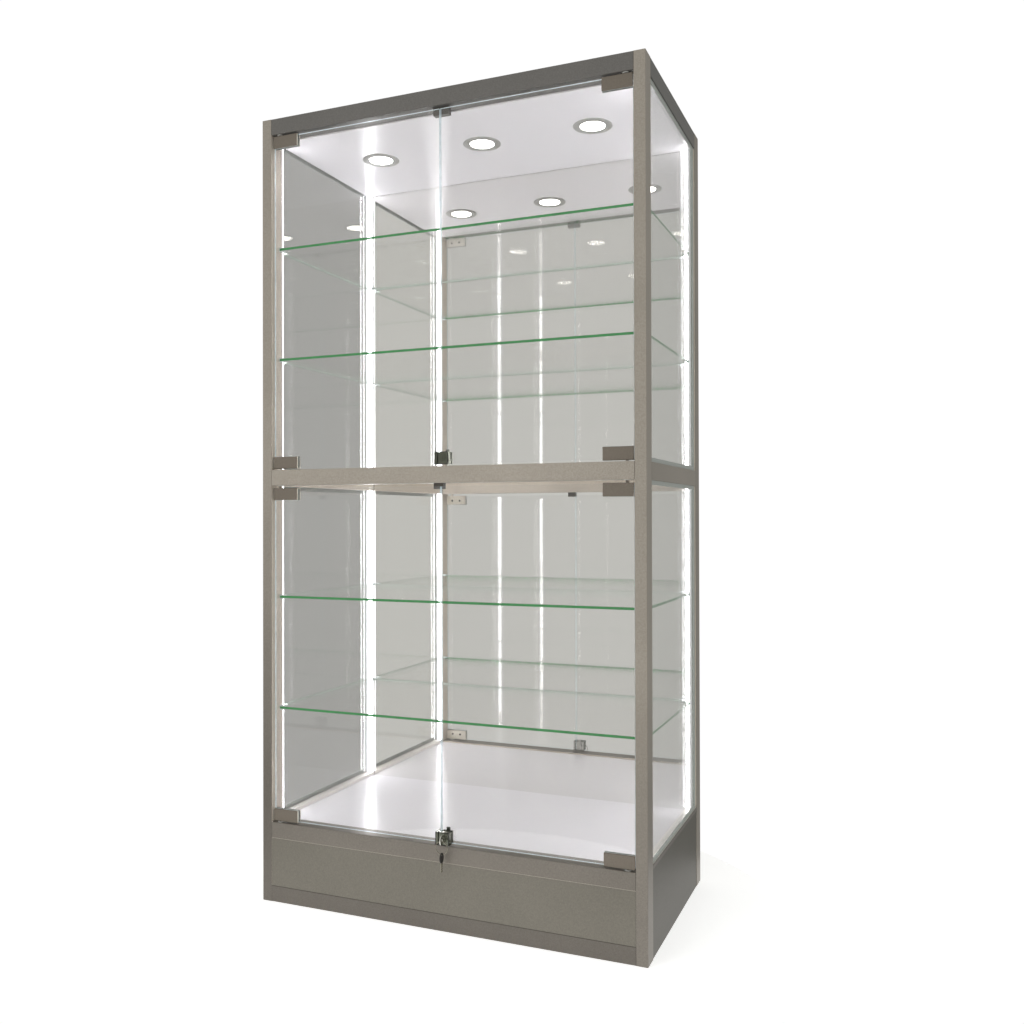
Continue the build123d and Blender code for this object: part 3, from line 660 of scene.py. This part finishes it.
# %% Lock collars
collar = [(r * MM, h * MM) for r, h in (
    (6.3, 0.0), (6.3, 0.9), (6.8, 1.3), (7.9, 1.4), (8.9, 1.0), (9.3, 0.3), (9.3, 0.0), (6.3, 0.0))]
for level in ("upper", "lower"):
    case_low, case_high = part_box(f"lock_case_{level}")
    plug_low, plug_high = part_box(f"lock_plug_{level}")
    spot = Matrix.Translation(((plug_low.x + plug_high.x) / 2, case_low.y, (plug_low.z + plug_high.z) / 2))
    bm = bmesh.new()
    add_spun(bm, collar, spot @ Matrix.Rotation(math.pi / 2, 4, "X"), 40)
    to_piece(bm, f"lock_collar_{level}", f"door_{level}_right", finish["lock"], smooth=True)
    strike_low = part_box(f"strike_{level}")[0]
    rib, stand, ease, face = 1.8 * MM, 0.6 * MM, 0.2 * MM, case_low.y
    bm_right, bm_left = bmesh.new(), bmesh.new()
    for foot in (case_low.z, case_high.z - rib):
        add_block(bm_right, (case_low.x, face - stand, foot), (case_high.x, face, foot + rib), ease, 1)
        add_block(bm_left, (strike_low.x, face - stand, foot), (-case_low.x, face, foot + rib), ease, 1)
    side_low, side_high = case_low.z + rib, case_high.z - rib
    add_block(bm_right, (case_high.x - rib, face - stand, side_low), (case_high.x, face, side_high), ease, 1)
    strike_x = strike_low.x
    add_block(bm_left, (strike_x, face - stand, side_low), (strike_x + rib, face, side_high), ease, 1)
    to_piece(bm_right, f"lock_rim_{level}", f"door_{level}_right", finish["keyhole"])
    to_piece(bm_left, f"strike_rim_{level}", f"door_{level}_left", finish["keyhole"])
print("collars and rims on two locks")

# %% [markdown]
# ## Keys
#
# A key is stamped from sheet. The spare has a dark plastic head and the other is bright metal. The head
# is an oval with a hole: two rings of edges bridged to a face, pushed out to a thickness and eased. The
# spare's blade is an outline with cuts along one side, pushed out the same way. The other's is mostly in
# the lock and plain.

# %% Key shapes


def add_plate(bm, outline, thickness, ease):
    """Push a flat outline in the YZ plane out along X, both ways from its middle, and ease its rims."""
    ring = [bm.verts.new((-thickness / 2, y, z)) for y, z in outline]
    face = bm.faces.new(ring)
    pushed = bmesh.ops.extrude_face_region(bm, geom=[face])
    moved = [g for g in pushed["geom"] if isinstance(g, bmesh.types.BMVert)]
    bmesh.ops.translate(bm, vec=(thickness, 0, 0), verts=moved)
    rims = {e for v in ring + moved for e in v.link_edges if abs(e.verts[0].co.x - e.verts[1].co.x) < 1e-9}
    bmesh.ops.bevel(bm, geom=list(rims), offset=ease, offset_type="OFFSET", segments=1, profile=0.5,
                    affect="EDGES", material=-1)


def add_head(bm, wide, tall, hole, hole_shift, thickness, ease):
    """Make an oval head with a round hole, in the YZ plane."""
    turn = Matrix.Rotation(math.pi / 2, 4, "Y")
    outer = bmesh.ops.create_circle(bm, segments=48, radius=1.0, matrix=turn)["verts"]
    bmesh.ops.scale(bm, vec=(1, wide / 2, tall / 2), verts=outer)
    inner = bmesh.ops.create_circle(bm, segments=48, radius=hole, matrix=turn)["verts"]
    bmesh.ops.translate(bm, vec=(0, 0, hole_shift), verts=inner)
    loops = {e for v in outer + inner for e in v.link_edges}
    bridged = bmesh.ops.bridge_loops(bm, edges=list(loops))
    pushed = bmesh.ops.extrude_face_region(bm, geom=bridged["faces"])
    moved = [g for g in pushed["geom"] if isinstance(g, bmesh.types.BMVert)]
    bmesh.ops.translate(bm, vec=(thickness, 0, 0), verts=moved)
    bmesh.ops.translate(bm, vec=(-thickness / 2, 0, 0), verts=bm.verts)
    flat = [e for e in bm.edges if abs(e.verts[0].co.x - e.verts[1].co.x) < 1e-9
            and e.calc_face_angle(0) > 1.0]
    bmesh.ops.bevel(bm, geom=flat, offset=ease, offset_type="OFFSET", segments=2, profile=0.5,
                    affect="EDGES", material=-1)


cuts = (0.0, 1.6, 0.6, 2.1, 0.9, 1.3, 0.3, 0.0)
head_wide, head_tall, head_thick, hole_radius = 18.0 * MM, 24.0 * MM, 2.4 * MM, 3.0 * MM
print("key head", head_wide, head_tall)

# %% Key in the lock and the spare
key_low, key_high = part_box("key")
spare_low, spare_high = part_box("spare_key")
key_x = (key_low.x + key_high.x) / 2
bow_y = key_low.y + head_wide / 2
bow_z = (key_low.z + key_high.z) / 2
blade_tall = 7.0 * MM
bm = bmesh.new()
add_head(bm, head_wide, head_tall, hole_radius, 0.0, head_thick, 0.5 * MM)
bmesh.ops.translate(bm, vec=(key_x, bow_y, bow_z), verts=bm.verts)
head = to_piece(bm, "key_head", "lock_lower", finish["key_bright"])
bm = bmesh.new()
shank_start = bow_y + hole_radius * 1.2
shank = [(shank_start, bow_z - blade_tall / 2), (key_high.y, bow_z - blade_tall / 2),
         (key_high.y, bow_z + blade_tall / 2), (shank_start, bow_z + blade_tall / 2)]
add_plate(bm, shank, 2.0 * MM, 0.2 * MM)
bmesh.ops.translate(bm, vec=(key_x, 0, 0), verts=bm.verts)
to_piece(bm, "key_blade", "lock_lower", finish["key"])
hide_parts("key")

spare_y = (spare_low.y + spare_high.y) / 2
spare_z = spare_high.z - head_tall / 2
bm = bmesh.new()
add_head(bm, head_wide, head_tall, hole_radius, spare_high.z - 5.0 * MM - spare_z, head_thick, 0.5 * MM)
bmesh.ops.translate(bm, vec=(key_x, spare_y, spare_z), verts=bm.verts)
spare_head = to_piece(bm, "spare_key_head", "spare_keys", finish["key_head"])
blade_top, blade_tip = spare_low.z + 24.0 * MM, spare_low.z
left_edge, right_edge = spare_y - blade_tall / 2, spare_y + blade_tall / 2
outline = [(left_edge, blade_top), (left_edge, blade_tip + 2.0 * MM), (spare_y, blade_tip),
           (right_edge, blade_tip + 2.0 * MM)]
step = (blade_top - blade_tip - 6.0 * MM) / (len(cuts) - 1)
outline += [(right_edge - cut * MM, blade_tip + 3.0 * MM + i * step) for i, cut in enumerate(cuts)]
outline += [(right_edge, blade_top)]
bm = bmesh.new()
add_plate(bm, outline, 2.0 * MM, 0.15 * MM)
bmesh.ops.translate(bm, vec=(key_x, 0, 0), verts=bm.verts)
to_piece(bm, "spare_key_blade", "spare_keys", finish["key"])
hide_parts("spare_key")
print("keys made, spare hangs from", round(spare_high.z, 4), "to", round(spare_low.z, 4))

# %% [markdown]
# ## Cable gland
#
# The gland is a rubber plug in the rear panel with a ribbed collar and a hole for the supply. It is spun.

# %% Gland
gland_low, gland_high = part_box("cable_gland")
centre_x, centre_z = (gland_low.x + gland_high.x) / 2, (gland_low.z + gland_high.z) / 2
gland_profile = [(r * MM, h * MM) for r, h in (
    (4.0, 0.0), (4.0, 5.0), (10.0, 5.0), (10.0, 2.0), (13.2, 2.0), (14.0, 1.6), (14.0, 0.5), (12.8, 0.0),
    (11.0, 0.3), (9.0, 0.0), (7.0, 0.3), (5.2, 0.0), (4.0, 0.0))]
bm = bmesh.new()
spot = Matrix.Translation((centre_x, gland_low.y, centre_z))
add_spun(bm, gland_profile, spot @ Matrix.Rotation(-math.pi / 2, 4, "X"))
gland = to_piece(bm, "ribbed_gland", "root", finish["gland"])
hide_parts("cable_gland")
print("gland at", round(centre_x, 3), round(centre_z, 3))

# %% [markdown]
# ## The camera
#
# The case is seen from in front of its right corner, about a metre up. The camera's place is in the
# frame's metres, and its turn, lift and roll are in degrees.

# %% Camera
eye = Vector((1.0336, -2.3245, 0.9679))
turn, lift, roll = math.radians(22.4668), math.radians(0.3275), math.radians(-0.1357)
ahead = Vector((-math.sin(turn) * math.cos(lift), math.cos(turn) * math.cos(lift), math.sin(lift)))
level_right = Vector((math.cos(turn), math.sin(turn), 0))
level_up = level_right.cross(ahead)
right = math.cos(roll) * level_right + math.sin(roll) * level_up
up = -math.sin(roll) * level_right + math.cos(roll) * level_up
camera = bpy.data.objects.new("camera", bpy.data.cameras.new("camera"))
camera.data.sensor_width = 36.0
camera.data.lens = 34.27277
camera.data.clip_start, camera.data.clip_end = 0.05, 60.0
camera.matrix_world = Matrix.Translation(eye) @ Matrix((right, up, -ahead)).transposed().to_4x4()
bpy.context.scene.collection.objects.link(camera)
bpy.context.scene.camera = camera
print("lens", round(camera.data.lens, 2), "mm")

# %% [markdown]
# ## Floor and studio light
#
# A plain pale floor, round and just wide enough for the case's faint shadow, a pale surround, and two
# large soft lamps. What the mirror shows is the room in front of the case, so the surround is white where
# it is seen straight on and a calm grey where it is reflected or seen through glass. An open door looks
# grey for that reason.

# %% Stage
bm = bmesh.new()
floor_radius, floor_middle = 0.82, Vector((0, -0.18, cad_low.z - 0.5 * MM))
bmesh.ops.create_circle(bm, cap_ends=True, segments=96, radius=floor_radius,
                        matrix=Matrix.Translation(floor_middle))
mesh = bpy.data.meshes.new("floor")
bm.to_mesh(mesh)
bm.free()
floor = bpy.data.objects.new("floor", mesh)
bpy.context.scene.collection.objects.link(floor)
f = Finish("pale_floor")
grain = f.noise(f.place(), 3.0, 2.0, 0.5)
mesh.materials.append(f.done(f.node("BsdfPrincipled", {}, {
    "Base Color": f.blend(grain, (0.84, 0.84, 0.835), (0.87, 0.87, 0.865)), "Roughness": 0.7,
    "Emission Color": (1, 1, 1, 1), "Emission Strength": 0.62})))
floor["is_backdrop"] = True
print("floor", floor_radius, "m in radius")

# %% Surround
world = bpy.data.worlds.new("studio")
bpy.context.scene.world = world
world.use_nodes = True
tree = world.node_tree
tree.nodes.clear()
path = tree.nodes.new("ShaderNodeLightPath")
seen = tree.nodes.new("ShaderNodeMath")
seen.operation = "LESS_THAN"
seen.inputs[1].default_value = 0.5
tree.links.new(path.outputs["Transparent Depth"], seen.inputs[0])
straight = tree.nodes.new("ShaderNodeMath")
straight.operation = "MULTIPLY"
tree.links.new(seen.outputs[0], straight.inputs[0])
tree.links.new(path.outputs["Is Camera Ray"], straight.inputs[1])
calm, bright = tree.nodes.new("ShaderNodeBackground"), tree.nodes.new("ShaderNodeBackground")
toward = tree.nodes.new("ShaderNodeTexCoord")
parts = tree.nodes.new("ShaderNodeSeparateXYZ")
tree.links.new(toward.outputs["Generated"], parts.inputs[0])
fade = tree.nodes.new("ShaderNodeMapRange")
fade.interpolation_type = "SMOOTHSTEP"
for socket, value in (("From Min", -0.5), ("From Max", 0.3), ("To Min", 0.66), ("To Max", 0.37)):
    fade.inputs[socket].default_value = value
tree.links.new(parts.outputs["Y"], fade.inputs["Value"])
calm.inputs["Color"].default_value = (1.0, 1.005, 0.965, 1)
tree.links.new(fade.outputs[0], calm.inputs["Strength"])
bright.inputs["Color"].default_value = (1.02, 1.02, 1.02, 1)
both = tree.nodes.new("ShaderNodeMixShader")
tree.links.new(straight.outputs[0], both.inputs[0])
tree.links.new(calm.outputs[0], both.inputs[1])
tree.links.new(bright.outputs[0], both.inputs[2])
out = tree.nodes.new("ShaderNodeOutputWorld")
tree.links.new(both.outputs[0], out.inputs["Surface"])
print("surround:", world.name)

# %% Soft lamps


def soft_lamp(name, place, target, size, power, colour=(1, 1, 1)):
    data = bpy.data.lights.new(name, "AREA")
    data.shape = "RECTANGLE"
    data.size, data.size_y = size
    data.energy = power
    data.color = colour
    lamp = bpy.data.objects.new(name, data)
    lamp.location = place
    lamp.rotation_mode = "QUATERNION"
    lamp.rotation_quaternion = (Vector(target) - Vector(place)).to_track_quat("-Z", "Y")
    lamp.visible_glossy = False
    lamp.visible_camera = False
    bpy.context.scene.collection.objects.link(lamp)
    return lamp


soft_lamp("front_lamp", (-0.5, -1.9, 1.15), (-0.1, -0.27, 1.05), (0.9, 0.7), 9)
soft_lamp("side_lamp", (4.0, -0.6, 1.2), (0, 0, 0.9), (2.4, 2.4), 14)
scene = bpy.context.scene
scene.view_settings.view_transform = "Standard"
scene.cycles.transparent_max_bounces = 48
scene.cycles.glossy_bounces = 8
scene.cycles.max_bounces = 14
print("stage set")

# %% [markdown]
# ## Sizes, and the end
#
# The box of everything shown, the solids and the new pieces, is printed at the end.

# %% Size of what is shown
low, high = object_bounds()
print("visual box", tuple(low), tuple(high))
